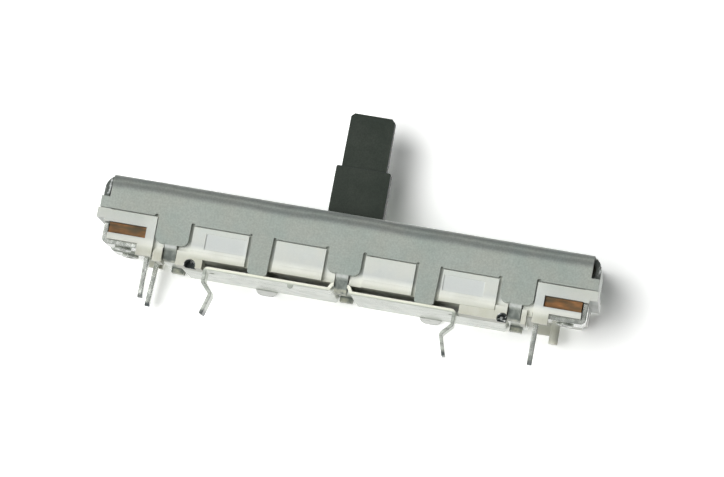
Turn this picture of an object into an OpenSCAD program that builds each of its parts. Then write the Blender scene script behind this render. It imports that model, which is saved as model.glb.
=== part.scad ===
// Slide potentiometer with 30 mm of travel, for a printed circuit board.
// X runs along the travel, Z up along the lever. Z = 0 is the face of the circuit board.

/* [Size] */
// Travel of the lever
travel = 30; // [26:0.5:60]
// Length of the body beyond each end of the travel
end_room = 7.35; // [7.2:0.05:7.6]
// Width of the cover over its side walls
cover_w = 9; // [8.1:0.1:10]

/* [Cover] */
// Thickness of the cover's sheet steel
sheet_t = 0.5; // [0.4:0.02:0.54]
// Outside radius of the bends along the two long sides
side_bend_r = 0.9; // [0.7:0.05:1.1]
// Outside radius of the bends at the two ends
end_bend_r = 1.3; // [1:0.05:1.4]
// How far the side walls lap over the top of the case
wall_lap = 0.5; // [0.35:0.05:0.7]
// How much shorter the walls are beside the end pads of the case
end_up = 0.3; // [0.1:0.05:0.35]
// Length cut back from each end of a side wall to relieve the corner
corner_relief = 0.75; // [0.5:0.05:0.9]
// Height of the corner relief, measured down from the top
relief_h = 2.1; // [1.6:0.1:2.4]

/* [Pillars and clinch tabs] */
// Distance from the ends of the cover to the outer pillars, which carry tabs
tab_pillar_in = 6.87; // [6.7:0.05:7]
// Width of the three pillars that carry tabs
tab_pillar_w = 3; // [2.8:0.05:3.1]
// Place of the plain pillars, as a share of the way to the outer pillars
mid_pillar_share = 0.484; // [0.46:0.002:0.5]
// Width of the plain pillars
mid_pillar_w = 1.9; // [1.5:0.1:2.1]
// Radius of the lower corners of a pillar that carries a tab
shoulder_r = 0.65; // [0.4:0.05:0.8]
// Height of the pillar shoulders over the underside of the case
shoulder_up = 0.85; // [0.7:0.05:1]
// Width of a clinch tab
tab_w = 1.1; // [0.9:0.05:1.2]
// How far a tab is set inward from the side wall
tab_joggle = 0.5; // [0.45:0.05:0.55]
// Length of the clinched end that lies under the base plate
clinch_l = 1.35; // [1:0.05:1.5]
// Outside radius of the bend of a clinch tab
clinch_r = 0.6; // [0.55:0.01:0.7]
// Radius of the punch relief beside the pillars that carry tabs
punch_r = 0.18; // [0.12:0.01:0.26]

/* [Travel and mounting] */
// Where the lever stands along its travel, measured from the middle
lever_at = -0.2; // [-12.5:0.1:12.5]
// Distance from the ends of the cover to the tapped mounting holes
mount_in = 2.45; // [2.4:0.05:2.6]
// Radius of a tapped mounting hole
mount_r = 0.8; // [0.6:0.05:0.85]
// Depth of the drawn collar that carries the thread
collar_h = 1.2; // [1:0.05:1.3]
// Wall of the drawn collar
collar_wall = 0.4; // [0.3:0.02:0.44]

/* [Lever] */
// Width of the tip of the lever
tip_w = 4; // [3:0.1:4.6]
// Thickness of the tip of the lever
tip_t = 1.2; // [1:0.05:1.5]
// Width of the root of the lever
root_w = 5; // [4.4:0.1:5.2]
// Thickness of the root of the lever
root_t = 1.6; // [1.3:0.05:1.8]
// Height of the root's step over the cover
step_h = 4.6; // [3:0.1:6]
// Height of the lever over the cover
lever_h = 9.5; // [8:0.1:15]
// Bevel at the two upper corners of the lever
tip_bevel = 0.3; // [0.1:0.05:0.5]
// Half length of the carriage under the cover
carriage_half_l = 6; // [5.6:0.1:6.2]
// Height of the carriage
carriage_h = 2.3; // [2.2:0.05:2.6]

/* [Case and element] */
// Depth of the track space over the element board
cavity_h = 1.4; // [1.3:0.05:1.8]
// Thickness of the element board
board_t = 1.15; // [0.8:0.05:1.3]
// Distance from the sides of the cover to the long edges of the element board
board_in = 1.3; // [1.3:0.05:1.5]
// Thickness of the floor of the case
floor_t = 0.85; // [0.8:0.05:1]
// Thickness of the floor over the terminals
end_floor_t = 0.35; // [0.3:0.05:0.4]
// Thickness of the end walls of the case
end_wall = 0.5; // [0.4:0.05:0.6]
// How far the window pads stay back from the outside of the cover
pad_recess = 0.12; // [0.05:0.01:0.2]
// Gap between a window pad and the pillar beside it
pad_side_gap = 0.28; // [0.2:0.02:0.4]
// Depth of the shallow panel in the outer window pads
panel_depth = 0.08; // [0.06:0.02:0.2]
// How far the lips at the two ends stand out past the cover
lip_out = 0.15; // [0.05:0.05:0.3]
// Height of the lips at the two ends
lip_h = 0.9; // [0.6:0.05:1]
// Width of each printed track
track_w = 1.3; // [1:0.05:1.6]
// Distance between the middles of the two tracks
track_pitch = 3; // [2.4:0.1:3.2]
// Thickness of the printed tracks
print_t = 0.05; // [0.04:0.01:0.08]

/* [Base plate and legs] */
// Thickness of the base plate and its legs
plate_t = 0.3; // [0.25:0.05:0.35]
// Distance from the left outer pillar to the left leg
left_leg_in = 3.38; // [3:0.05:3.8]
// Distance from the right outer pillar to the right leg
right_leg_in = 5.2; // [4.8:0.05:5.6]
// Width of a leg
leg_w = 1.8; // [1.4:0.1:2.4]
// Depth of the leg tips under the circuit board's face
leg_depth = 3.4; // [3:0.05:4.4]
// How far the elbow of a leg is set inward
leg_elbow = 0.85; // [0.6:0.05:1.1]
// Width of a bent foot
foot_w = 2.1; // [1.6:0.1:2.6]

/* [Terminals] */
// Distance from the ends of the cover to the terminal pins
pin_in = 4.85; // [4.7:0.05:4.95]
// Distance from the sides of the cover to the terminal pins
pin_row_in = 1.25; // [1.2:0.05:1.35]
// Thickness of the terminal strip
strip_t = 0.42; // [0.35:0.01:0.45]
// Width of a terminal pin
pin_w = 0.8; // [0.6:0.05:0.9]
// Length of the pins under the circuit board's face
pin_depth = 2.85; // [2.4:0.05:3.5]
// Distance from the ends of the cover to the eyelets
eyelet_in = 2.4; // [2.3:0.05:2.5]
// Distance from the sides of the cover to the eyelets
eyelet_row_in = 2.1; // [2.05:0.05:2.2]
// Outside radius of an eyelet's barrel
eyelet_r = 0.5; // [0.4:0.02:0.55]

/* [Hidden] */
$fn = 48;
// Clearance of pieces that fit against each other
fit_gap = 0.05;
// Clearance of pieces that slide on each other
run_gap = 0.05;
// Side clearance of the lever in its slot and of the carriage in the cover
slide_gap = 0.15;
// Clearance at the ends of the slot
slot_end_gap = 0.4;
// Overlap that makes a cut run clean through a face
over = 0.5;

// Levels, from the circuit board up
plate_z0 = sheet_t;
plate_z1 = plate_z0 + plate_t;
case_z0 = plate_z0 + sheet_t + plate_t;
board_z0 = case_z0 + floor_t;
board_z1 = board_z0 + board_t;
track_z1 = board_z1 + print_t;
case_z1 = board_z1 + cavity_h;
carriage_z0 = case_z1 + run_gap;
carriage_z1 = carriage_z0 + carriage_h;
cover_z0 = carriage_z1 + run_gap;
cover_z1 = cover_z0 + sheet_t;
wall_z = case_z1 - wall_lap;
end_wall_z = wall_z + end_up;
shoulder_z = case_z0 + shoulder_up;
strip_z1 = board_z0 - end_floor_t;
strip_z0 = strip_z1 - strip_t;
collar_z = cover_z1 - collar_h;

// Half sizes and places across and along the body
cover_l = travel + 2 * end_room;
half_l = cover_l / 2;
half_w = cover_w / 2;
tab_pillar_x = half_l - tab_pillar_in;
mid_pillar_x = tab_pillar_x * mid_pillar_share;
mount_x = half_l - mount_in;
pin_x = half_l - pin_in;
pin_y = half_w - pin_row_in;
eyelet_x = half_l - eyelet_in;
eyelet_y = half_w - eyelet_row_in;
board_half_w = half_w - board_in;
left_leg_x = -tab_pillar_x + left_leg_in;
right_leg_x = tab_pillar_x - right_leg_in;
wall_half_l = half_l - corner_relief;
flap_half_w = half_w - side_bend_r;
case_half_l = half_l - sheet_t - fit_gap;
case_half_w = half_w - sheet_t - fit_gap;
pocket_half_l = case_half_l - end_wall;
pocket_half_w = board_half_w + fit_gap;
pad_y = half_w - pad_recess;
tab_y = half_w - tab_joggle - sheet_t;
groove_y = tab_y - fit_gap;
plate_half_w = half_w - 0.15;
TAB_PLACES = [-tab_pillar_x, 0, tab_pillar_x];

// Carriage and slot
hub_half_l = mount_x - mount_r - collar_wall - travel / 2 - 0.3;
carriage_half_w = half_w - sheet_t - slide_gap;
spring_t = 0.15;
wing_z1 = collar_z - 0.2 - spring_t;
slot_half_l = travel / 2 + root_w / 2 + slot_end_gap;
slot_half_w = root_t / 2 + slide_gap + fit_gap;

// Case ends, where the terminals lie
term_x0 = tab_pillar_x + tab_pillar_w / 2 + fit_gap;
end_pad_x = term_x0 + fit_gap;
post_x1 = end_pad_x + 1.4;
notch_x = case_half_l - strip_t - 2 * fit_gap;
board_window_x = end_pad_x + 0.8;
ear_y = pad_y - 0.25;
window_lip = 0.2;
end_lip_z = end_wall_z - fit_gap;
terminal_y0 = eyelet_y - 1.1;
ledge_x = tab_pillar_x + tab_w / 2 + 0.55;
horn_x = tab_pillar_x + tab_pillar_w / 2 - fit_gap;
horn_r = 0.3;
wing_y = plate_half_w - leg_w - 0.6;
leg_bend = 0.6;
channel_w = tab_w + 2 * fit_gap;
channel_slope = 0.28;
notch_r = 0.48;

// ---- Outlines and bent strips ----

function unit(v) = v / norm(v);
function side_of(v) = [-v.y, v.x];

// Points of the arc that rounds the corner b between a and c
function corner_arc(a, b, c, r, steps = 5) =
    let (u = unit(a - b), v = unit(c - b), half = acos(u * v) / 2)
    let (centre = b + unit(u + v) * r / sin(half), p = b + u * r / tan(half) - centre)
    let (turn = (180 - 2 * half) * sign(u.x * v.y - u.y * v.x) * -1)
    [for (i = [0:steps]) let (a = turn * i / steps)
        centre + [p.x * cos(a) - p.y * sin(a), p.x * sin(a) + p.y * cos(a)]];

// A polyline with its inner corners rounded
function rounded_path(pts, r) =
    let (last = len(pts) - 1)
    concat([pts[0]], [for (i = [1:last - 1]) each corner_arc(pts[i - 1], pts[i], pts[i + 1], r)], [pts[last]]);

// The same polyline moved sideways by d, with mitred corners
function moved_path(path, d) =
    let (last = len(path) - 1)
    [for (i = [0:last])
        let (before = side_of(unit(path[max(i, 1)] - path[max(i, 1) - 1])))
        let (after = side_of(unit(path[min(i, last - 1) + 1] - path[min(i, last - 1)])))
        let (mid = unit(before + after))
        path[i] + mid * d / (mid * before)];

// Sheet metal seen on edge: a strip of thickness t along a bent path
module bent_strip(pts, t, r) {
    path = rounded_path(pts, r);
    left = moved_path(path, t / 2);
    right = moved_path(path, -t / 2);
    polygon(concat(left, [for (i = [len(right) - 1:-1:0]) right[i]]));
}

// Stands a profile drawn in X and Z up, from y0 to y1
module along_y(y0, y1) {
    translate([0, y1, 0]) rotate([90, 0, 0]) linear_extrude(y1 - y0) children();
}

// Stands a profile drawn in Y and Z up, from x0 to x1
module along_x(x0, x1) {
    translate([x0, 0, 0]) rotate([90, 0, 90]) linear_extrude(x1 - x0) children();
}

// Lays a profile drawn in X and Y flat, from z0 to z1
module along_z(z0, z1) {
    translate([0, 0, z0]) linear_extrude(z1 - z0) children();
}

// Rectangle from its two corners
module area(x0, x1, y0, y1) {
    translate([x0, y0]) square([x1 - x0, y1 - y0]);
}

// Folded channel seen on end, w wide, with its two upper corners rounded
module channel_outline(w, z0, z1, r) {
    area(-w / 2, w / 2, z0, z1 - r);
    area(-w / 2 + r, w / 2 - r, z0, z1);
    for (s = [-1, 1]) translate([s * (w / 2 - r), z1 - r]) circle(r);
}

// Copies its children on the near side and on the far side
module both_sides() {
    for (s = [0, 1]) mirror([0, s, 0]) children();
}

module both_ends() {
    for (s = [0, 1]) mirror([s, 0, 0]) children();
}

// ---- Cover ----

// Outline of a pillar that carries a tab: rounded shoulders, open in the middle for the tab
module tab_pillar_outline() {
    r = shoulder_r;
    w = tab_pillar_w / 2;
    difference() {
        union() {
            area(-w, w, shoulder_z + r, wall_z + over);
            area(-w + r, w - r, shoulder_z, wall_z);
            for (s = [-1, 1]) translate([s * (w - r), shoulder_z + r]) circle(r);
        }
        area(-tab_w / 2, tab_w / 2, shoulder_z - over, shoulder_z + 0.3);
    }
}

// Outline of a plain pillar: it narrows a little and has rounded lower corners
module mid_pillar_outline() {
    w = mid_pillar_w / 2;
    r = 0.25;
    polygon([[-w, wall_z + over], [-w, wall_z], [-w + 0.08, plate_z1 + r], [w - 0.08, plate_z1 + r], [w, wall_z], [w, wall_z + over]]);
    area(-w + 0.08 + r, w - 0.08 - r, plate_z1, plate_z1 + r);
    for (s = [-1, 1]) translate([s * (w - 0.08 - r), plate_z1 + r]) circle(r);
}

// Side wall below the fold, with its ears at the ends and its pillars
module wall_outline() {
    area(-half_l, half_l, wall_z, cover_z1 - relief_h);
    for (x = TAB_PLACES) translate([x, 0]) tab_pillar_outline();
    for (s = [-1, 1]) translate([s * mid_pillar_x, 0]) mid_pillar_outline();
}

// Round punch reliefs beside each pillar
module punch_reliefs() {
    small_r = punch_r * 0.6;
    relief_x = tab_pillar_w / 2 + punch_r;
    for (s = [-1, 1]) {
        translate([s * relief_x, wall_z]) circle(punch_r);
        translate([s * (tab_pillar_x - relief_x), wall_z]) circle(punch_r);
        translate([s * (tab_pillar_x + relief_x), end_wall_z]) circle(punch_r);
    }
    for (e = [-1, 1]) for (s = [-1, 1]) translate([e * mid_pillar_x + s * (mid_pillar_w / 2 + small_r), wall_z]) circle(small_r);
}

// Tab: set in, run down and folded flat, with the underside of the fold at z_fold
module clinch_tab(z_fold) {
    y_wall = half_w - sheet_t / 2;
    y_tab = tab_y + sheet_t / 2;
    z_set = shoulder_z + 0.12;
    z_flap = z_fold + sheet_t / 2;
    path = [[y_wall, z_set + 0.3], [y_wall, z_set], [y_tab, z_set - 0.5], [y_tab, z_flap], [y_tab - clinch_l, z_flap]];
    along_x(-tab_w / 2, tab_w / 2) bent_strip(path, sheet_t, clinch_r - sheet_t / 2);
}

module cover_hollow() {
    intersection() {
        along_x(-half_l, half_l)
            channel_outline(cover_w - 2 * sheet_t, 0, cover_z0, side_bend_r - sheet_t);
        along_y(-half_w, half_w)
            channel_outline(cover_l - 2 * sheet_t, 0, cover_z0, end_bend_r - sheet_t);
    }
}

module cover() {
    color("#a6ada7") {
        difference() {
            union() {
                difference() {
                    union() {
                        along_x(-wall_half_l, wall_half_l) channel_outline(cover_w, wall_z, cover_z1, side_bend_r);
                        along_y(-flap_half_w, flap_half_w) channel_outline(cover_l, wall_z, cover_z1, end_bend_r);
                    }
                    cover_hollow();
                }
                both_sides() along_y(half_w - sheet_t, half_w) wall_outline();
                both_ends() translate([mount_x, 0, collar_z]) cylinder(h = collar_h - sheet_t / 2, r = mount_r + collar_wall);
            }
            both_sides() along_y(half_w - 2 * sheet_t, half_w + over) punch_reliefs();
            both_ends() along_z(0, end_wall_z) area(tab_pillar_x + tab_pillar_w / 2, half_l + over, -half_w - over, half_w + over);
            along_z(cover_z0 - over, cover_z1 + over) area(-slot_half_l, slot_half_l, -slot_half_w, slot_half_w);
            both_ends() translate([mount_x, 0, collar_z - over]) cylinder(h = collar_h + 2 * over, r = mount_r);
        }
        // Folded into the channels of the base plate, but straight under the case at the near outer tabs
        for (x = TAB_PLACES) translate([x, 0, 0]) clinch_tab(plate_z0);
        mirror([0, 1, 0]) {
            clinch_tab(plate_z0);
            for (s = [-1, 1]) translate([s * tab_pillar_x, 0, 0]) clinch_tab(case_z0 - sheet_t);
        }
    }
}

// ---- Case ----

// Side view of the tray, with its floor raised over the terminals
module tray_outline() {
    half = [[0, case_z0], [term_x0, case_z0], [term_x0, strip_z1], [case_half_l, strip_z1], [case_half_l, case_z1], [0, case_z1]];
    for (s = [0, 1]) mirror([s, 0]) polygon(half);
}

// Pads that fill the windows of the cover, drawn for one end
module pad_outline() {
    top = wall_z - 2 * fit_gap;
    inner0 = tab_pillar_w / 2 + pad_side_gap;
    inner1 = mid_pillar_x - mid_pillar_w / 2 - pad_side_gap;
    outer0 = mid_pillar_x + mid_pillar_w / 2 + pad_side_gap;
    outer1 = tab_pillar_x - tab_pillar_w / 2 - pad_side_gap;
    area(inner0, inner1, case_z0, top);
    area(outer0, outer1, case_z0, top);
    polygon([[end_pad_x, plate_z1], [post_x1, plate_z1], [post_x1, strip_z1], [case_half_l, strip_z1],
             [case_half_l, top + end_up], [end_pad_x, top + end_up]]);
}

// Lower lip of the window pads
module pad_lip_outline() {
    inner0 = tab_pillar_w / 2 + pad_side_gap;
    inner1 = mid_pillar_x - mid_pillar_w / 2 - pad_side_gap;
    outer0 = mid_pillar_x + mid_pillar_w / 2 + pad_side_gap;
    outer1 = tab_pillar_x - tab_pillar_w / 2 - pad_side_gap;
    area(inner0, inner1, case_z0, case_z0 + 0.65);
    area(outer0, outer1, case_z0, case_z0 + 0.65);
}

// Shallow panel sunk in the outer window pads
module sunk_panel_outline() {
    x0 = mid_pillar_x + mid_pillar_w / 2 + pad_side_gap;
    x1 = tab_pillar_x - tab_pillar_w / 2 - pad_side_gap;
    area(x0 + 0.15, x0 + 0.76 * (x1 - x0), case_z0 + 0.95, wall_z - 0.55);
}

// Ledges beside the legs, at the height of the base plate
module ledges() {
    for (s = [-1, 1]) {
        leg = s < 0 ? -left_leg_x : right_leg_x;
        x0 = s * (leg + plate_t / 2 + 0.2);
        x1 = s * ledge_x;
        along_z(plate_z0, case_z0 + over) area(min(x0, x1), max(x0, x1), -plate_half_w, -wing_y - 0.15);
    }
    // Rounded horn at the outer end of the left ledge
    along_y(-plate_half_w, -case_half_w + fit_gap) {
        area(-horn_x, -ledge_x + over, plate_z0, case_z0 - 0.1);
        translate([-horn_x + horn_r, case_z0]) circle(horn_r);
        area(-horn_x, -horn_x + 2 * horn_r, case_z0 - 0.2, case_z0);
    }
}

// Grooves for the clinch tabs, and below the ledges room for their folded ends
module tab_grooves() {
    half = tab_w / 2 + 0.1;
    both_sides() for (x = TAB_PLACES) {
        along_z(0, shoulder_z) area(x - half, x + half, groove_y, half_w + over);
        along_z(shoulder_z - over, shoulder_z + 0.35) area(x - half, x + half, case_half_w - 0.27, half_w + over);
    }
    for (s = [-1, 1])
        along_z(0, case_z0) area(s * tab_pillar_x - half, s * tab_pillar_x + half, -half_w, -wing_y);
}

// Round notches in the underside of the ledges, beside the outer tabs
module ledge_notches() {
    depth = 1.1;
    for (x = [-tab_pillar_x + 1.95, tab_pillar_x - 0.95])
        along_y(-half_w, -plate_half_w + depth) translate([x, plate_z0 + 0.18]) circle(notch_r);
}

// Places of the three eyelets: left near, left far, right near
module at_eyelets() {
    for (p = [[-1, -1], [-1, 1], [1, -1]]) translate([p.x * eyelet_x, p.y * eyelet_y, 0]) children();
}

module case() {
    color("#e4e3da") difference() {
        union() {
            along_y(-case_half_w, case_half_w) tray_outline();
            both_ends() both_sides() along_y(case_half_w - sheet_t / 2, pad_y) pad_outline();
            both_ends() both_sides() along_y(case_half_w, pad_y + 0.07) pad_lip_outline();
            both_ends() along_y(-pad_y, pad_y) area(case_half_l - over, half_l + lip_out, end_lip_z - lip_h, end_lip_z);
            ledges();
            translate([post_x1 + 0.45, pin_y - 0.1, 0]) cylinder(h = strip_z1 + 0.2, r = 0.42);
        }
        along_z(board_z0, case_z1 + over) area(-pocket_half_l, pocket_half_l, -pocket_half_w, pocket_half_w);
        both_ends() both_sides() {
            // Side window, where the ear of the element board shows
            along_z(board_z0, board_z1 + fit_gap) area(board_window_x, pocket_half_l, pocket_half_w - over, ear_y + fit_gap);
            along_z(board_z0 + window_lip, board_z1 + fit_gap) area(board_window_x, pocket_half_l, ear_y, half_w + over);
            // Notch for the hooked end of a terminal
            along_z(strip_z1 - over, board_z1) area(notch_x, half_l, terminal_y0 - fit_gap, half_w + over);
            along_y(pad_y - panel_depth, half_w + over) sunk_panel_outline();
        }
        tab_grooves();
        ledge_notches();
        at_eyelets() cylinder(h = board_z1, r = eyelet_r + fit_gap);
    }
}

// ---- Base plate ----

// Sheet seen on edge: raised at both ends and in the middle, where the clinch tabs fold under it
module plate_profile() {
    low = (plate_z0 + plate_z1) / 2;
    high = low + sheet_t;
    half = channel_w / 2 + plate_t / 2;
    run = half + channel_slope;
    bent_strip([[-half_l, high], [-tab_pillar_x + half, high], [-tab_pillar_x + run, low],
                [-run, low], [-half, high], [half, high], [run, low],
                [tab_pillar_x - run, low], [tab_pillar_x - half, high], [half_l, high]],
               plate_t, plate_t / 2 + 0.02);
}

// Flat outline: the near corners are cut away beside the legs
module plate_outline() {
    wing_x = ledge_x - 0.1;
    r = 0.5;
    difference() {
        union() {
            area(left_leg_x + leg_bend, right_leg_x - leg_bend, -plate_half_w, plate_half_w);
            area(-wing_x + r, wing_x - r, -wing_y, plate_half_w);
            area(-wing_x, wing_x, -wing_y + r, plate_half_w - r);
            for (s = [-1, 1]) for (y = [-wing_y + r, plate_half_w - r]) translate([s * (wing_x - r), y]) circle(r);
        }
        for (x = TAB_PLACES) area(x - channel_w / 2, x + channel_w / 2, groove_y, half_w);
        area(-channel_w / 2, channel_w / 2, -half_w, -groove_y);
    }
}

// Leg seen on edge; it leaves the plate at x, and out is the way towards its end of the body
module leg(x, out) {
    z_mid = (plate_z0 + plate_z1) / 2;
    path = [[x - out * (leg_bend + 0.5), z_mid], [x, z_mid], [x, -0.6], [x - out * leg_elbow, -1.52], [x - out * 0.3, -leg_depth]];
    intersection() {
        along_y(-plate_half_w, -plate_half_w + leg_w) bent_strip(path, plate_t, 0.3);
        along_x(x - 3, x + 3) translate([-plate_half_w + leg_w / 2, 0]) mirror([0, 1])
            channel_outline(leg_w, -plate_z1, leg_depth + plate_t, 0.6);
    }
}

// Half-round foot bent down from the far edge
module foot_outline() {
    r = plate_z1 - 0.12;
    flat = foot_w / 2 - r;
    area(-foot_w / 2, foot_w / 2, r - 0.1, plate_z1);
    area(-flat, flat, 0, r);
    intersection() {
        for (s = [-1, 1]) translate([s * flat, r]) circle(r);
        area(-foot_w / 2, foot_w / 2, 0, r);
    }
}

module base_plate() {
    color("#cfd1cc") {
        intersection() {
            along_y(-half_w, half_w) plate_profile();
            along_z(0, case_z0) plate_outline();
        }
        leg(left_leg_x, -1);
        leg(right_leg_x, 1);
        for (x = [-mid_pillar_x + 0.12, mid_pillar_x + 0.2])
            along_y(plate_half_w - plate_t, plate_half_w) translate([x, 0]) foot_outline();
        // Small rounded stop at the near edge, as deep as the feet
        along_y(-plate_half_w, -plate_half_w + plate_t) translate([-mid_pillar_x * 0.587, 0.38]) {
            circle(0.26);
            area(-0.26, 0.26, 0, plate_z1 - 0.48);
        }
    }
}

// ---- Element board and its prints ----

// Outline of the board: the ears near its ends fill the side windows of the case
module board_outline() {
    x0 = board_window_x + fit_gap;
    x1 = notch_x - fit_gap;
    w = board_half_w;
    polygon([[-x1, -ear_y], [-x0, -ear_y], [-x0, -w], [x0, -w], [x0, -ear_y], [x1, -ear_y],
             [x1, ear_y], [x0, ear_y], [x0, w], [-x0, w], [-x0, ear_y], [-x1, ear_y]]);
}

module element_board() {
    color("#7d4a24") difference() {
        along_z(board_z0, board_z1) board_outline();
        at_eyelets() translate([0, 0, board_z0 - over]) cylinder(h = board_t + 2 * over, r = eyelet_r + fit_gap);
    }
}

track_half_l = travel / 2 + 1.4;

module track(y) {
    along_z(board_z1, track_z1) area(-track_half_l, track_half_l, y - track_w / 2, y + track_w / 2);
}

module resistive_track() {
    color("#2a2a2b") track(-track_pitch / 2);
}

module collector_track() {
    color("#6b6d6c") track(track_pitch / 2);
}

// Silvered print from the end of a track to the eyelet, on the left near corner
module silver_print() {
    y0 = -track_pitch / 2 - track_w / 2;
    along_z(board_z1, track_z1) difference() {
        polygon([[-track_half_l, y0], [-track_half_l, y0 + track_w], [-eyelet_x, -eyelet_y + 0.85],
                 [-eyelet_x - 0.85, -eyelet_y + 0.85], [-eyelet_x - 0.85, -board_half_w + 0.05],
                 [-eyelet_x + 0.6, -board_half_w + 0.05]]);
        translate([-eyelet_x, -eyelet_y]) circle(eyelet_r + fit_gap);
    }
}

module silver_end_left() {
    color("#b9bbb8") silver_print();
}

module silver_end_right() {
    color("#b9bbb8") mirror([1, 0, 0]) silver_print();
}

module silver_lead_collector() {
    color("#b9bbb8") mirror([0, 1, 0]) silver_print();
}

// ---- Terminals ----

// Left near terminal: hooked over the end of the board, riveted, and bent down into its pin,
// which leans out by lean at its tip
module terminal(lean = 0) {
    z_mid = (strip_z0 + strip_z1) / 2;
    x_hook = -(notch_x + fit_gap + strip_t / 2);
    path = [[x_hook, board_z1 - fit_gap], [x_hook, z_mid], [-pin_x, z_mid], [-pin_x - lean, -pin_depth]];
    strip_y1 = case_half_w - fit_gap;
    difference() {
        intersection() {
            along_y(-strip_y1, -terminal_y0) bent_strip(path, strip_t, strip_t / 2 + 0.1);
            union() {
                along_z(strip_z0, cover_z1) area(-half_l, -post_x1 + 0.1, -strip_y1, -terminal_y0);
                along_x(-half_l, 0) translate([-pin_y, 0]) mirror([0, 1]) channel_outline(pin_w, -cover_z1, pin_depth, 0.35);
            }
        }
        translate([-eyelet_x, -eyelet_y, 0]) cylinder(h = board_z0, r = eyelet_r + fit_gap);
    }
}

module terminal_left_near() {
    color("#c8cac6") terminal();
}

module terminal_left_far() {
    color("#c8cac6") mirror([0, 1, 0]) terminal(0.25);
}

module terminal_right() {
    color("#c8cac6") mirror([1, 0, 0]) terminal();
}

// Half section of an eyelet: barrel with a rolled head at each end
module eyelet_section() {
    head_r = eyelet_r + 0.28;
    area(eyelet_r - 0.2, eyelet_r, strip_z0 - 0.2, track_z1 + 0.12);
    area(eyelet_r - 0.1, head_r, track_z1, track_z1 + 0.12);
    area(eyelet_r - 0.1, head_r - 0.11, strip_z0 - 0.2, strip_z0);
    translate([head_r - 0.11, strip_z0 - 0.11]) circle(0.11);
}

module terminal_eyelets() {
    color("#d4d3cb") at_eyelets() rotate_extrude() eyelet_section();
}

// ---- Slider: lever with carriage, wiper and springs ----

// Front view of the carriage: high hub under the lever, low wings that clear the collars
module carriage_outline() {
    half = [[0, carriage_z0], [carriage_half_l, carriage_z0], [carriage_half_l, wing_z1],
            [hub_half_l + 0.25, wing_z1], [hub_half_l, wing_z1 + 0.25], [hub_half_l, carriage_z1], [0, carriage_z1]];
    for (s = [0, 1]) mirror([s, 0]) polygon(half);
}

// Front view of the wide root of the lever, with a little draft
module root_outline() {
    z1 = cover_z1 + step_h;
    polygon([[-root_w / 2, carriage_z1 - over], [root_w / 2, carriage_z1 - over],
             [root_w / 2 - 0.03, z1 - 0.1], [root_w / 2 - 0.13, z1], [-root_w / 2 + 0.13, z1], [-root_w / 2 + 0.03, z1 - 0.1]]);
}

// Front view of the narrow tip of the lever
module tip_outline() {
    z0 = cover_z1 + step_h - over;
    z1 = cover_z1 + lever_h;
    b = tip_bevel;
    polygon([[-tip_w / 2 - 0.04, z0], [tip_w / 2 + 0.04, z0], [tip_w / 2, z1 - b],
             [tip_w / 2 - b, z1], [-tip_w / 2 + b, z1], [-tip_w / 2, z1 - b]]);
}

brush_t = 0.12;
brush_x0 = 2.2;
brush_x1 = 4.8;
stake_x = 3.6;
stake_y = 0.75;
stake_r = 0.3;

module at_stakes() {
    for (s = [-1, 1]) translate([stake_x, s * stake_y, 0]) children();
}

module lever() {
    color("#343835") translate([lever_at, 0, 0]) {
        intersection() {
            along_y(-carriage_half_w, carriage_half_w) carriage_outline();
            along_x(-carriage_half_l, carriage_half_l)
                channel_outline(2 * carriage_half_w, carriage_z0, carriage_z1, side_bend_r - sheet_t + 0.1);
        }
        along_y(-root_t / 2, root_t / 2) root_outline();
        along_y(-tip_t / 2, tip_t / 2) tip_outline();
        // Posts staked over the wiper
        at_stakes() {
            translate([0, 0, carriage_z0 - brush_t - 0.2]) cylinder(h = 0.5, r = stake_r);
            translate([0, 0, carriage_z0 - brush_t - 0.22]) cylinder(h = 0.2, r = stake_r + 0.17);
        }
        // Pegs that hold the springs
        both_ends() translate([(hub_half_l + carriage_half_l) / 2 + 0.1, 0, wing_z1 - 0.2])
            cylinder(h = 0.2 + spring_t + 0.1, r = 0.28);
    }
}

// Finger seen on edge: it springs down to the track and turns up at its tip
module finger_outline() {
    z_base = carriage_z0 - brush_t / 2;
    z_touch = track_z1 + 0.02 + brush_t / 2;
    bent_strip([[brush_x0 + 0.3, z_base], [brush_x0 - 0.3, z_base], [0.1, z_touch], [-0.4, z_touch + 0.35]], brush_t, 0.1);
}

module wiper() {
    finger_w = track_w / 4;
    finger_step = track_w / 3;
    color("#c9a25e") translate([lever_at, 0, 0]) {
        difference() {
            along_z(carriage_z0 - brush_t, carriage_z0) area(brush_x0, brush_x1, -2.2, 2.2);
            at_stakes() translate([0, 0, carriage_z0 - over]) cylinder(h = 2 * over, r = stake_r + 0.02);
        }
        for (s = [-1, 1]) for (i = [-1:1]) {
            y = s * track_pitch / 2 + i * finger_step;
            along_y(y - finger_w / 2, y + finger_w / 2) finger_outline();
        }
    }
}

// Gull-wing leaf that presses the carriage away from the cover
module tension_spring() {
    z_base = wing_z1 + spring_t / 2;
    z_touch = cover_z0 - 0.03 - spring_t / 2;
    y_tip = carriage_half_w - 0.15;
    path = [[-y_tip, z_touch - 0.2], [-y_tip + 0.7, z_touch], [-1.4, z_base], [1.4, z_base],
            [y_tip - 0.7, z_touch], [y_tip, z_touch - 0.2]];
    x0 = hub_half_l + 0.45;
    difference() {
        along_x(x0, carriage_half_l - 0.2) bent_strip(path, spring_t, 0.12);
        translate([(hub_half_l + carriage_half_l) / 2 + 0.1, 0, wing_z1 - over]) cylinder(h = 2 * over, r = 0.31);
    }
}

module tension_spring_right() {
    color("#a9a9a4") translate([lever_at, 0, 0]) tension_spring();
}

module tension_spring_left() {
    color("#a9a9a4") translate([lever_at, 0, 0]) mirror([1, 0, 0]) tension_spring();
}

cover();
case();
base_plate();
element_board();
resistive_track();
collector_track();
silver_end_left();
silver_end_right();
silver_lead_collector();
terminal_left_near();
terminal_left_far();
terminal_right();
terminal_eyelets();
lever();
wiper();
tension_spring_left();
tension_spring_right();
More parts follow.
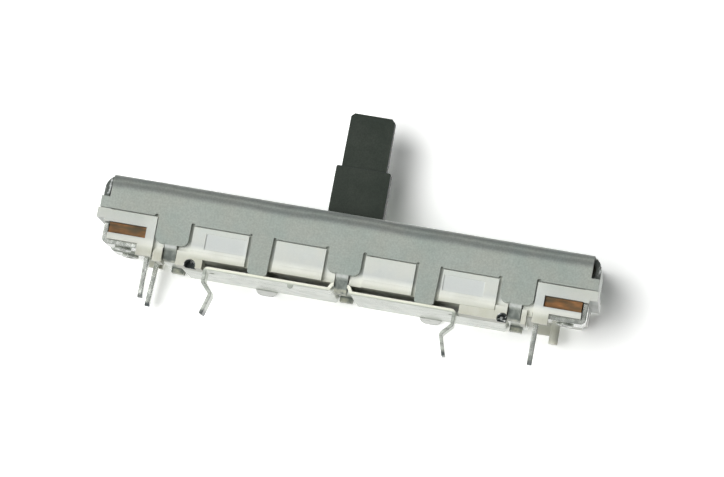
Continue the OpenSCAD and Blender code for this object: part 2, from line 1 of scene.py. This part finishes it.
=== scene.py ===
import math
import bpy
from mathutils import Matrix, Vector

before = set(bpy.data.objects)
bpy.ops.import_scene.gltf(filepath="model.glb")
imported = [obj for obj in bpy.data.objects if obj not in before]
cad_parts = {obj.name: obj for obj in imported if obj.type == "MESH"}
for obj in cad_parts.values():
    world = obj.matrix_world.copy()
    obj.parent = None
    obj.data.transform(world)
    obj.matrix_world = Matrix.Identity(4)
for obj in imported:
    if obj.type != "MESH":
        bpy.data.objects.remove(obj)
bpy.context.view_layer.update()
MM = 0.001
WHITE = (1.0, 1.0, 1.0, 1.0)


# ---- Node helpers; every length in a pattern is in millimetres ----

def linear(red, green, blue):
    """Shader colour of a colour given as it looks, 0 to 255 a channel."""
    colour = []
    for value in (red, green, blue):
        share = value / 255.0
        if share <= 0.04045:
            colour.append(share / 12.92)
        else:
            colour.append(((share + 0.055) / 1.055) ** 2.4)
    return (colour[0], colour[1], colour[2], 1.0)


def shade(red, green, blue):
    """Colour that multiplies another one, 1 where it changes nothing."""
    return (red, green, blue, 1.0)


class Graph:
    """Nodes of a material or of the world, and the sums that they do."""

    def __init__(self, tree):
        self.nodes = tree.nodes
        self.links = tree.links
        self.nodes.clear()

    def feed(self, socket, value):
        if isinstance(value, bpy.types.NodeSocket):
            self.links.new(value, socket)
        else:
            socket.default_value = value

    def split(self, vector):
        """X, Y and Z of a vector."""
        node = self.nodes.new("ShaderNodeSeparateXYZ")
        self.links.new(vector, node.inputs[0])
        return node.outputs

    def math(self, operation, *values):
        node = self.nodes.new("ShaderNodeMath")
        node.operation = operation
        for socket, value in zip(node.inputs, values):
            self.feed(socket, value)
        return node.outputs[0]

    def both(self, first, second):
        """Product of two masks or shares."""
        return self.math("MULTIPLY", first, second)

    def dot(self, first, second):
        node = self.nodes.new("ShaderNodeVectorMath")
        node.operation = "DOT_PRODUCT"
        self.feed(node.inputs[0], first)
        self.feed(node.inputs[1], second)
        return node.outputs["Value"]

    def rise(self, value, low, high, bottom=0.0, top=1.0):
        """Smooth step from bottom at low to top at high."""
        node = self.nodes.new("ShaderNodeMapRange")
        node.interpolation_type = "SMOOTHSTEP"
        self.feed(node.inputs["Value"], value)
        node.inputs["From Min"].default_value = low
        node.inputs["From Max"].default_value = high
        node.inputs["To Min"].default_value = bottom
        node.inputs["To Max"].default_value = top
        return node.outputs[0]

    def between(self, value, low, high, soft):
        """One where value lies between low and high, with soft ends."""
        start = self.rise(value, low - soft, low + soft)
        end = self.rise(value, high + soft, high - soft)
        return self.both(start, end)

    def mix_shader(self, share, first, second):
        node = self.nodes.new("ShaderNodeMixShader")
        self.links.new(share, node.inputs[0])
        self.links.new(first, node.inputs[1])
        self.links.new(second, node.inputs[2])
        return node.outputs[0]


class Finish(Graph):
    """One material of the part: a surface shader, and the patterns that feed it."""

    def __init__(self, name, edge):
        """Edges look rounded by a radius of edge."""
        self.material = bpy.data.materials.new(name)
        self.material.use_nodes = True
        super().__init__(self.material.node_tree)
        self.shader = self.nodes.new("ShaderNodeBsdfPrincipled")
        output = self.nodes.new("ShaderNodeOutputMaterial")
        self.links.new(self.shader.outputs[0], output.inputs["Surface"])
        where = self.nodes.new("ShaderNodeTexCoord")
        scale = self.nodes.new("ShaderNodeVectorMath")
        scale.operation = "SCALE"
        scale.inputs["Scale"].default_value = 1.0 / MM
        self.links.new(where.outputs["Object"], scale.inputs[0])
        self.place = scale.outputs[0]
        self.x, self.y, self.z = self.split(self.place)
        self.along = self.math("ABSOLUTE", self.x)
        self.side = self.math("ABSOLUTE", self.y)
        rounding = self.nodes.new("ShaderNodeBevel")
        rounding.samples = 4
        rounding.inputs["Radius"].default_value = edge * MM
        self.normal = rounding.outputs[0]
        geometry = self.nodes.new("ShaderNodeNewGeometry")
        facing = geometry.outputs["True Normal"]
        facing_parts = self.split(facing)
        self.down = self.math("MULTIPLY", facing_parts["Z"], -1.0)
        self.across = self.math("ABSOLUTE", facing_parts["Y"])
        self.edge = self.rise(self.dot(self.normal, facing), 0.995, 0.93)

    def noise(self, size, detail=3.0, stretch=(1.0, 1.0, 1.0), shift=0.0):
        """Noise from 0 to 1 whose features are about size across, drawn out by stretch."""
        spread = self.nodes.new("ShaderNodeVectorMath")
        spread.operation = "MULTIPLY_ADD"
        spread.inputs[1].default_value = [1.0 / (size * share) for share in stretch]
        spread.inputs[2].default_value = (shift, shift, shift)
        self.links.new(self.place, spread.inputs[0])
        node = self.nodes.new("ShaderNodeTexNoise")
        node.inputs["Scale"].default_value = 1.0
        node.inputs["Detail"].default_value = detail
        self.links.new(spread.outputs[0], node.inputs["Vector"])
        return node.outputs["Fac"]

    def sway(self, noise, low, high):
        """Value from low to high that follows a noise."""
        return self.rise(noise, 0.3, 0.7, low, high)

    def ramp(self, value, stops):
        """Colour that follows value; stops are (value, colour), lowest first."""
        low = stops[0][0]
        high = stops[-1][0]
        share = self.nodes.new("ShaderNodeMapRange")
        self.feed(share.inputs["Value"], value)
        share.inputs["From Min"].default_value = low
        share.inputs["From Max"].default_value = high
        node = self.nodes.new("ShaderNodeValToRGB")
        points = node.color_ramp.elements
        while len(points) < len(stops):
            points.new(0.5)
        for point, (at, colour) in zip(points, stops):
            point.position = (at - low) / (high - low)
            point.color = colour
        self.links.new(share.outputs[0], node.inputs[0])
        return node.outputs["Color"]

    def mix(self, share, first, second, kind="MIX"):
        """Blend of two colours, from first at share 0 to second at share 1."""
        node = self.nodes.new("ShaderNodeMix")
        node.data_type = "RGBA"
        node.blend_type = kind
        self.feed(node.inputs["Factor"], share)
        self.feed(node.inputs["A"], first)
        self.feed(node.inputs["B"], second)
        return node.outputs["Result"]

    def tint(self, colour, value):
        """Colour times a value."""
        node = self.nodes.new("ShaderNodeCombineColor")
        for socket in node.inputs[:3]:
            self.feed(socket, value)
        return self.mix(1.0, colour, node.outputs[0], "MULTIPLY")

    def bump(self, height, depth):
        """Relief that follows a noise, on top of the relief so far."""
        node = self.nodes.new("ShaderNodeBump")
        node.inputs["Strength"].default_value = 1.0
        node.inputs["Distance"].default_value = depth * MM
        self.feed(node.inputs["Height"], height)
        self.links.new(self.normal, node.inputs["Normal"])
        self.normal = node.outputs[0]

    def finish(self, colour, roughness, metallic=0.0, specular=0.5):
        """Connect the patterns to the surface shader."""
        self.feed(self.shader.inputs["Base Color"], colour)
        self.feed(self.shader.inputs["Roughness"], roughness)
        self.feed(self.shader.inputs["Metallic"], metallic)
        self.shader.inputs["Specular IOR Level"].default_value = specular
        self.links.new(self.normal, self.shader.inputs["Normal"])


def dress(finish, *names):
    """Give CAD nodes a material."""
    for name in names:
        for slot in bpy.data.objects[name].material_slots:
            slot.link = "OBJECT"
            slot.material = finish.material


# ---- Materials ----

def zinc_sheet():
    """Zinc-plated steel of the cover: matt grey-green, with painted shade at the long bends and
    painted highlights on the tabs.
    """
    look = Finish("zinc_sheet", edge=0.06)
    cloud = look.noise(4.0, 4.0)
    warm = look.noise(2.0, 3.0, shift=7.0)
    grain = look.noise(0.45, 5.0, (1.5, 1.0, 1.0))
    fine = look.noise(0.16, 3.0)
    scar = look.noise(0.45, 3.0, (1.0, 1.0, 1.6), 2.0)
    colour = look.mix(look.sway(cloud, 0.0, 1.0), linear(176, 183, 175), linear(167, 177, 169))
    colour = look.mix(look.sway(warm, 0.0, 0.6), colour, linear(177, 180, 170))
    speck = look.both(look.sway(grain, 0.94, 1.05), look.sway(fine, 0.91, 1.09))
    colour = look.tint(colour, speck)

    # Painted shade in bands along the long bends, on the side walls only
    waver = look.sway(look.noise(2.5, 3.0, (2.0, 1.0, 1.0)), -0.06, 0.06)
    bend_shade = look.ramp(look.math("ADD", look.z, waver), [
        (6.0, WHITE),
        (6.25, shade(0.97, 0.97, 0.97)),
        (6.42, shade(0.81, 0.81, 0.82)),
        (6.58, shade(0.6, 0.6, 0.62)),
        (6.73, shade(0.51, 0.51, 0.53)),
        (6.87, shade(0.6, 0.6, 0.61)),
        (7.02, shade(0.8, 0.8, 0.81)),
        (7.18, shade(0.6, 0.6, 0.61)),
        (7.32, shade(0.44, 0.44, 0.46)),
        (7.46, shade(0.58, 0.58, 0.6)),
        (7.58, WHITE),
        (7.6, WHITE)])
    on_wall = look.rise(look.side, 3.5, 3.7)
    colour = look.mix(on_wall, colour, look.mix(1.0, colour, bend_shade, "MULTIPLY"))

    # Clinch tabs: dark stem, a painted highlight on the step at the top and painted glints on the
    # fold
    outer_tab = look.between(look.along, 14.9, 16.06, 0.02)
    middle_tab = look.rise(look.along, 0.58, 0.56)
    tab = look.math("MAXIMUM", outer_tab, middle_tab)
    stem = look.both(tab, look.rise(look.z, 1.78, 1.6))
    colour = look.mix(look.both(stem, look.sway(scar, 1.0, 0.5)), colour, linear(112, 118, 113))
    step = look.both(tab, look.between(look.z, 1.85, 2.12, 0.1))
    colour = look.mix(look.both(step, look.sway(scar, 0.6, 1.0)), colour, linear(228, 231, 226))
    fold = look.both(tab, look.rise(look.z, 0.95, 0.75))
    colour = look.mix(look.both(fold, look.sway(scar, 0.0, 0.9)), colour, linear(208, 208, 188))

    # Cut edges of the end flaps: painted shade, broken by flecks of painted highlight
    flap = look.both(look.rise(look.along, 21.3, 21.35), look.between(look.z, 5.1, 7.5, 0.05))
    sheared = look.both(look.rise(look.side, 3.95, 3.9), look.rise(look.across, 0.6, 0.9))
    edge_shade_and_glints = look.mix(look.rise(scar, 0.5, 0.62), linear(58, 62, 60), linear(236, 238, 236))
    colour = look.mix(look.both(look.both(flap, sheared), 0.75), colour, edge_shade_and_glints)

    # Painted light on the undersides over the windows, and worn edges
    lit_underside = look.both(look.rise(look.down, 0.8, 0.95), look.between(look.z, 4.0, 4.7, 0.05))
    colour = look.mix(look.both(lit_underside, 0.8), colour, linear(236, 239, 234))
    edge_wear_and_shade = look.both(look.edge, look.sway(grain, 0.05, 0.4))
    colour = look.mix(edge_wear_and_shade, colour, linear(206, 209, 204))
    look.bump(grain, depth=0.008)
    look.bump(fine, depth=0.003)
    look.finish(colour, look.sway(grain, 0.45, 0.62), metallic=0.4)
    return look


def white_moulding():
    """Cloudy white nylon of the case, with a cooler middle and a cream lower lip that carries
    painted light.
    """
    look = Finish("case_moulding", edge=0.04)
    cloud = look.noise(1.8, 3.0)
    fine = look.noise(0.12, 3.0)
    # Tone by height: painted light along the lower lip, which goes cream and darker towards its
    # bottom edge; a cooler middle
    colour = look.ramp(look.z, [
        (1.2, linear(192, 192, 176)),
        (1.45, linear(202, 204, 190)),
        (1.75, linear(225, 226, 215)),
        (2.1, linear(225, 227, 219)),
        (2.5, linear(196, 200, 196)),
        (3.7, linear(202, 206, 200)),
        (4.2, linear(200, 205, 197)),
        (4.5, linear(200, 205, 197))])
    colour = look.mix(look.sway(cloud, 0.0, 0.55), colour, linear(208, 209, 199))
    # Painted light: the pegs below the case are paler than the rest
    peg_light = look.rise(look.z, 0.5, -0.2)
    colour = look.mix(peg_light, colour, linear(248, 247, 232))

    # Shallow panels of the outer pads: cooler, with painted light on the steps round them that
    # takes out their shade
    panel = look.both(look.rise(look.side, 4.34, 4.32), look.rise(look.side, 4.2, 4.25))
    colour = look.mix(look.both(panel, look.sway(cloud, 0.4, 0.9)), colour, linear(199, 203, 201))
    step = look.both(look.rise(look.across, 0.6, 0.3), look.between(look.side, 4.29, 4.39, 0.01))
    colour = look.mix(look.both(step, 0.9), colour, linear(255, 255, 248))

    # The end pads are a little darker: painted shade
    colour = look.tint(colour, look.rise(look.along, 17.0, 18.8, 1.0, 0.88))
    colour = look.tint(colour, look.sway(fine, 0.98, 1.012))

    # Round notches beside the outer tabs: painted shade inside, with a few painted glints
    notch_x = 14.03
    notch_middle_x = 0.5
    notch_z = 0.68
    from_middle = look.math("ABSOLUTE", look.math("SUBTRACT", look.x, notch_middle_x))
    off_x = look.math("ABSOLUTE", look.math("ADD", from_middle, -notch_x))
    off_z = look.math("SUBTRACT", look.z, notch_z)
    squares = look.math("ADD", look.math("POWER", off_x, 2.0), look.math("POWER", off_z, 2.0))
    notch = look.rise(look.math("SQRT", squares), 0.56, 0.48)
    notch = look.both(notch, look.rise(look.y, -2.9, -3.1))
    notch_glint = look.rise(look.noise(0.35, 2.0, shift=9.0), 0.565, 0.66)
    notch_shade_and_glints = look.mix(notch_glint, linear(52, 58, 56), linear(236, 239, 236))
    colour = look.mix(notch, colour, notch_shade_and_glints)
    look.bump(look.noise(0.9, 2.0), depth=0.012)
    look.bump(fine, depth=0.002)
    look.finish(colour, look.sway(cloud, 0.38, 0.55))
    look.shader.inputs["Subsurface Weight"].default_value = 0.12
    look.shader.inputs["Subsurface Radius"].default_value = (1.0, 0.9, 0.75)
    look.shader.inputs["Subsurface Scale"].default_value = 0.3 * MM
    return look


def tin_plate():
    """Bright tinned sheet of the base plate: faint rolling streaks, painted light and shade along
    the rim, dark tips.
    """
    look = Finish("tin_plate", edge=0.09)
    streak = look.noise(0.35, 4.0, (9.0, 1.0, 1.0))
    cloud = look.noise(1.4, 3.0)
    colour = look.mix(look.sway(cloud, 0.0, 1.0), linear(230, 234, 224), linear(206, 211, 200))
    colour = look.tint(colour, look.sway(streak, 0.84, 1.04))

    # Rim along the sides: painted shade below, with a painted highlight along the top
    rim = look.both(look.rise(look.side, 4.3, 4.34), look.rise(look.z, 0.0, 0.15))
    rim_light_and_shade = look.ramp(look.z, [
        (0.1, linear(150, 156, 146)),
        (0.44, linear(164, 170, 158)),
        (0.56, linear(206, 211, 196)),
        (0.68, linear(252, 252, 232)),
        (0.8, linear(255, 255, 238)),
        (0.82, linear(255, 255, 238))])
    colour = look.mix(look.both(rim, 0.85), colour, rim_light_and_shade)

    # Legs with dark edges and tips, and painted light on the feet
    legs = look.both(look.edge, look.rise(look.z, 0.3, 0.1))
    colour = look.mix(look.both(legs, look.sway(cloud, 0.5, 0.9)), colour, linear(96, 102, 94))
    tips = look.rise(look.z, -2.85, -3.2)
    colour = look.mix(look.both(tips, look.sway(cloud, 0.6, 0.95)), colour, linear(84, 90, 92))
    feet = look.both(look.rise(look.y, 3.9, 4.0), look.rise(look.z, 0.5, 0.4))
    feet_light = look.both(feet, look.rise(look.edge, 0.3, 0.0))
    colour = look.mix(feet_light, colour, linear(250, 250, 246))
    look.bump(streak, depth=0.006)
    look.bump(look.noise(0.08, 2.0), depth=0.002)
    metallic = look.rise(look.math("MAXIMUM", rim, feet), 0.0, 1.0, 0.75, 0.3)
    look.finish(colour, look.sway(streak, 0.26, 0.42), metallic)
    return look


def tinned_terminal():
    """Hot-tinned pins, strips and eyelets: glossy, with soft waves and bare cut tips."""
    look = Finish("tinned_terminal", edge=0.16)
    wave = look.noise(0.8, 1.0)
    blot = look.noise(0.5, 3.0, (1.0, 1.0, 1.5), 3.0)
    colour = look.mix(look.sway(blot, 0.0, 1.0), linear(236, 238, 230), linear(192, 197, 189))
    # Dark edges round a bright core: painted shade
    edge_wear_and_shade = look.both(look.edge, look.sway(wave, 0.35, 0.8))
    colour = look.mix(edge_wear_and_shade, colour, linear(104, 108, 102))
    tips = look.rise(look.z, -2.35, -2.7)
    colour = look.mix(look.both(tips, look.sway(wave, 0.6, 0.95)), colour, linear(96, 102, 104))
    look.bump(wave, depth=0.04)
    look.finish(colour, look.sway(wave, 0.14, 0.26), metallic=0.78)
    return look


def phenolic():
    """Brown paper laminate, streaked along its layers."""
    look = Finish("phenolic_board", edge=0.04)
    layer = look.noise(0.5, 4.0, (3.0, 3.0, 0.8))
    patch = look.noise(1.0, 3.0, (2.0, 2.0, 0.7), 4.0)
    colour = look.ramp(layer, [
        (0.3, linear(78, 62, 46)),
        (0.42, linear(104, 78, 52)),
        (0.54, linear(132, 94, 60)),
        (0.7, linear(174, 120, 74))])
    colour = look.mix(look.sway(patch, 0.0, 0.85), colour, linear(84, 78, 62))
    look.bump(layer, depth=0.01)
    look.finish(colour, look.sway(layer, 0.45, 0.65), specular=0.2)
    return look


def black_moulding():
    """Black glass-filled nylon of the lever, a little grey at its edges."""
    look = Finish("lever_moulding", edge=0.08)
    cloud = look.noise(2.5, 3.0)
    fine = look.noise(0.11, 3.0)
    colour = look.mix(look.sway(cloud, 0.0, 1.0), linear(48, 54, 48), linear(56, 61, 55))
    colour = look.tint(colour, look.sway(fine, 0.85, 1.15))
    colour = look.mix(look.both(look.edge, 0.6), colour, linear(74, 80, 82))
    look.bump(look.noise(0.6, 3.0), depth=0.01)
    look.bump(fine, depth=0.006)
    look.finish(colour, look.sway(fine, 0.5, 0.66), specular=0.22)
    return look


def printed_ink(name, dark, light, metallic, rough):
    """Screen-printed track: speckled, with the fine ridges of the screen."""
    look = Finish(name, edge=0.02)
    speck = look.noise(0.09, 3.0)
    colour = look.mix(look.sway(speck, 0.0, 1.0), dark, light)
    look.bump(speck, depth=0.008)
    look.bump(look.noise(0.4, 2.0, (4.0, 1.0, 1.0)), depth=0.004)
    look.finish(colour, look.sway(speck, rough - 0.1, rough + 0.1), metallic)
    return look


def spring_metal(name, bright, dull, rough):
    """Rolled spring strip, drawn along its length."""
    look = Finish(name, edge=0.03)
    drawn = look.noise(0.08, 3.0, (12.0, 1.0, 1.0))
    colour = look.mix(look.sway(drawn, 0.0, 1.0), bright, dull)
    colour = look.mix(look.both(look.edge, 0.4), colour, bright)
    look.bump(drawn, depth=0.003)
    look.finish(colour, look.sway(drawn, rough - 0.06, rough + 0.08), metallic=0.95)
    return look


def dress_part():
    tinned = tinned_terminal()
    carbon = printed_ink("carbon_ink", linear(30, 30, 31), linear(54, 54, 55),
                         metallic=0.0, rough=0.55)
    silver = printed_ink("silver_ink", linear(168, 168, 164), linear(208, 208, 203),
                         metallic=0.6, rough=0.45)
    bronze = spring_metal("bronze_strip", linear(214, 172, 112), linear(186, 142, 88), rough=0.28)
    steel = spring_metal("steel_strip", linear(196, 198, 198), linear(160, 163, 165), rough=0.3)
    dress(zinc_sheet(), "cover")
    dress(white_moulding(), "case")
    dress(tin_plate(), "base_plate")
    dress(tinned, "terminal_left_near", "terminal_left_far", "terminal_right", "terminal_eyelets")
    dress(phenolic(), "element_board")
    dress(black_moulding(), "lever")
    dress(carbon, "resistive_track")
    dress(silver, "collector_track", "silver_lead_collector", "silver_end_left", "silver_end_right")
    dress(bronze, "wiper")
    dress(steel, "tension_spring_left", "tension_spring_right")


# ---- Camera, at the photograph's angle ----

def make_camera():
    azimuth = math.radians(5.8)
    elevation = math.radians(-7.2)
    roll = math.radians(-10.4)
    distance = 330.0
    pixels_per_mm = 11.2
    frame_width = 724.0
    sensor_width = 36.0
    # The middle of the frame lies this many pixels right of and below the target
    right_px = 7.5
    down_px = 1.0
    target = Vector((0.0, 0.0, 6.1)) * MM
    away = Vector((math.sin(azimuth) * math.cos(elevation),
                   -math.cos(azimuth) * math.cos(elevation),
                   math.sin(elevation)))
    right = Vector((math.cos(azimuth), math.sin(azimuth), 0.0))
    up = right.cross(-away)
    image_right = right * math.cos(roll) - up * math.sin(roll)
    image_up = right * math.sin(roll) + up * math.cos(roll)
    aim = target + (image_right * right_px - image_up * down_px) / pixels_per_mm * MM
    data = bpy.data.cameras.new("camera")
    data.sensor_width = sensor_width
    data.lens = pixels_per_mm * distance / frame_width * sensor_width
    data.clip_start = 0.01
    data.clip_end = 5.0
    camera = bpy.data.objects.new("camera", data)
    bpy.context.scene.collection.objects.link(camera)
    turn = Matrix((image_right, image_up, away)).transposed().to_4x4()
    camera.matrix_world = Matrix.Translation(aim + away * distance * MM) @ turn
    bpy.context.scene.camera = camera


# ---- Light ----

def add_sun(name, direction, strength, spread, mirrored=True):
    """Sun that shines from a direction, spread degrees wide; gloss shows it where mirrored."""
    data = bpy.data.lights.new(name, "SUN")
    data.energy = strength
    data.angle = math.radians(spread)
    lamp = bpy.data.objects.new(name, data)
    lamp.rotation_mode = "QUATERNION"
    lamp.rotation_quaternion = Vector(direction).to_track_quat("Z", "Y")
    lamp.visible_glossy = mirrored
    bpy.context.scene.collection.objects.link(lamp)


def make_world():
    """White to the camera, and where gloss mirrors the sheet; as light, a dim room.

    The room is brighter at the lower left. It holds the white sheet behind the part and a
    small glare box in front.
    """
    room_dark, room_bright, room_reach = 0.06, 0.52, 0.8
    sheet_level = 0.8
    glare_level = 2.0
    brighter_side = Vector((-0.6, 0.0, -0.8))
    glare_side = Vector((-0.5, -0.85, 0.15)).normalized()
    world = bpy.data.worlds.new("studio")
    bpy.context.scene.world = world
    world.use_nodes = True
    graph = Graph(world.node_tree)
    toward = graph.nodes.new("ShaderNodeTexCoord").outputs["Generated"]
    room = graph.rise(graph.dot(toward, brighter_side), -room_reach, room_reach,
                      room_dark, room_bright)
    sheet = graph.rise(graph.split(toward)["Y"], 0.0, 0.35)
    level = graph.nodes.new("ShaderNodeMix")
    graph.links.new(sheet, level.inputs["Factor"])
    graph.links.new(room, level.inputs["A"])
    level.inputs["B"].default_value = sheet_level
    glare = graph.rise(graph.dot(toward, glare_side), 0.94, 0.98, 0.0, glare_level)
    lit = graph.nodes.new("ShaderNodeBackground")
    lit.inputs["Color"].default_value = (0.97, 0.99, 1.0, 1.0)
    graph.links.new(graph.math("ADD", level.outputs["Result"], glare), lit.inputs["Strength"])
    white = graph.nodes.new("ShaderNodeBackground")
    white.inputs["Color"].default_value = WHITE
    white.inputs["Strength"].default_value = 1.0
    path = graph.nodes.new("ShaderNodeLightPath").outputs
    seen = graph.math("MAXIMUM", path["Is Camera Ray"], path["Is Transmission Ray"])
    mirrored = graph.both(path["Is Glossy Ray"], sheet)
    shown = graph.math("MAXIMUM", seen, mirrored)
    out = graph.nodes.new("ShaderNodeOutputWorld")
    surface = graph.mix_shader(shown, lit.outputs[0], white.outputs[0])
    graph.links.new(surface, out.inputs["Surface"])


def make_floor():
    """White sheet that the part lies on, far side down; it is clear from behind."""
    reach = 600.0 * MM
    # Just past the far side of the cover
    level = 4.51 * MM
    mesh = bpy.data.meshes.new("floor")
    corners = [(-reach, level, -reach), (reach, level, -reach),
               (reach, level, reach), (-reach, level, reach)]
    mesh.from_pydata(corners, [], [(0, 1, 2, 3)])
    floor = bpy.data.objects.new("floor", mesh)
    bpy.context.scene.collection.objects.link(floor)
    material = bpy.data.materials.new("white_sheet")
    material.use_nodes = True
    graph = Graph(material.node_tree)
    paper = graph.nodes.new("ShaderNodeBsdfDiffuse")
    paper.inputs["Color"].default_value = (1.3, 1.3, 1.28, 1.0)
    clear = graph.nodes.new("ShaderNodeBsdfTransparent")
    side = graph.nodes.new("ShaderNodeNewGeometry")
    out = graph.nodes.new("ShaderNodeOutputMaterial")
    surface = graph.mix_shader(side.outputs["Backfacing"], paper.outputs[0], clear.outputs[0])
    graph.links.new(surface, out.inputs["Surface"])
    mesh.materials.append(material)
    floor.visible_diffuse = False
    floor.visible_glossy = False
    floor.visible_transmission = False
    floor.visible_shadow = False


bpy.context.scene.view_settings.view_transform = "Standard"
dress_part()
make_camera()
make_world()
make_floor()
add_sun("key", (-0.49, -0.87, -0.06), strength=2.45, spread=52.0, mirrored=False)
add_sun("fill", (0.35, 0.75, 0.5), strength=0.5, spread=60.0)
add_sun("top", (0.1, 0.12, 1.0), strength=1.1, spread=60.0, mirrored=False)
